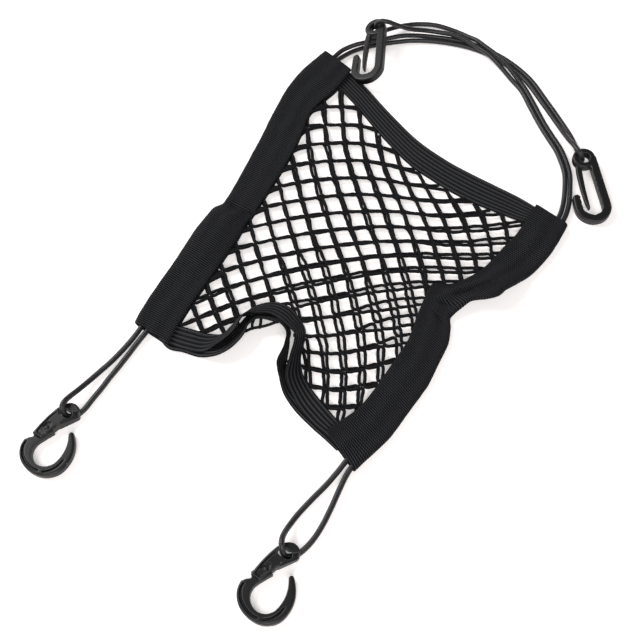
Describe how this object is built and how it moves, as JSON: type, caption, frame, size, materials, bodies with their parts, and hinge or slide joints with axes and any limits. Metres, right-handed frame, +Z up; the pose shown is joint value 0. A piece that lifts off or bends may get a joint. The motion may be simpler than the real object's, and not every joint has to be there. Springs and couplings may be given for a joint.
{
  "type": "seat back mesh organizer",
  "caption": "Black knotted-net pocket between webbing sleeves with ribbed elastics, cord loops and plastic hooks, lying flat with its open edge drawn up in an arch.",
  "frame": {"origin": "on the table under the middle of the organizer and its hooks", "axes": "+Z up from the table, +Y towards the top edge, +X to the right with the front layer facing up"},
  "size_m": [0.2864, 0.5213, 0.0266],
  "materials": {
    "webbing": "matte woven webbing",
    "net": "matte knotted twine",
    "elastic": "matte ribbed elastic",
    "cord": "soft sheen braided cord",
    "hook_plastic": "satin moulded plastic"
  },
  "bodies": {
    "root": {"sleeve_left": "webbing", "sleeve_right": "webbing", "net_front": "net", "net_back": "net", "elastic_top": "elastic", "elastic_front": "elastic", "elastic_back": "elastic", "cord_upper_left": "cord", "cord_upper_right": "cord", "cord_lower_left": "cord", "cord_lower_right": "cord", "hook_upper_left": "hook_plastic", "hook_upper_right": "hook_plastic", "hook_lower_left": "hook_plastic", "hook_lower_right": "hook_plastic"}
  },
  "joints": []
}
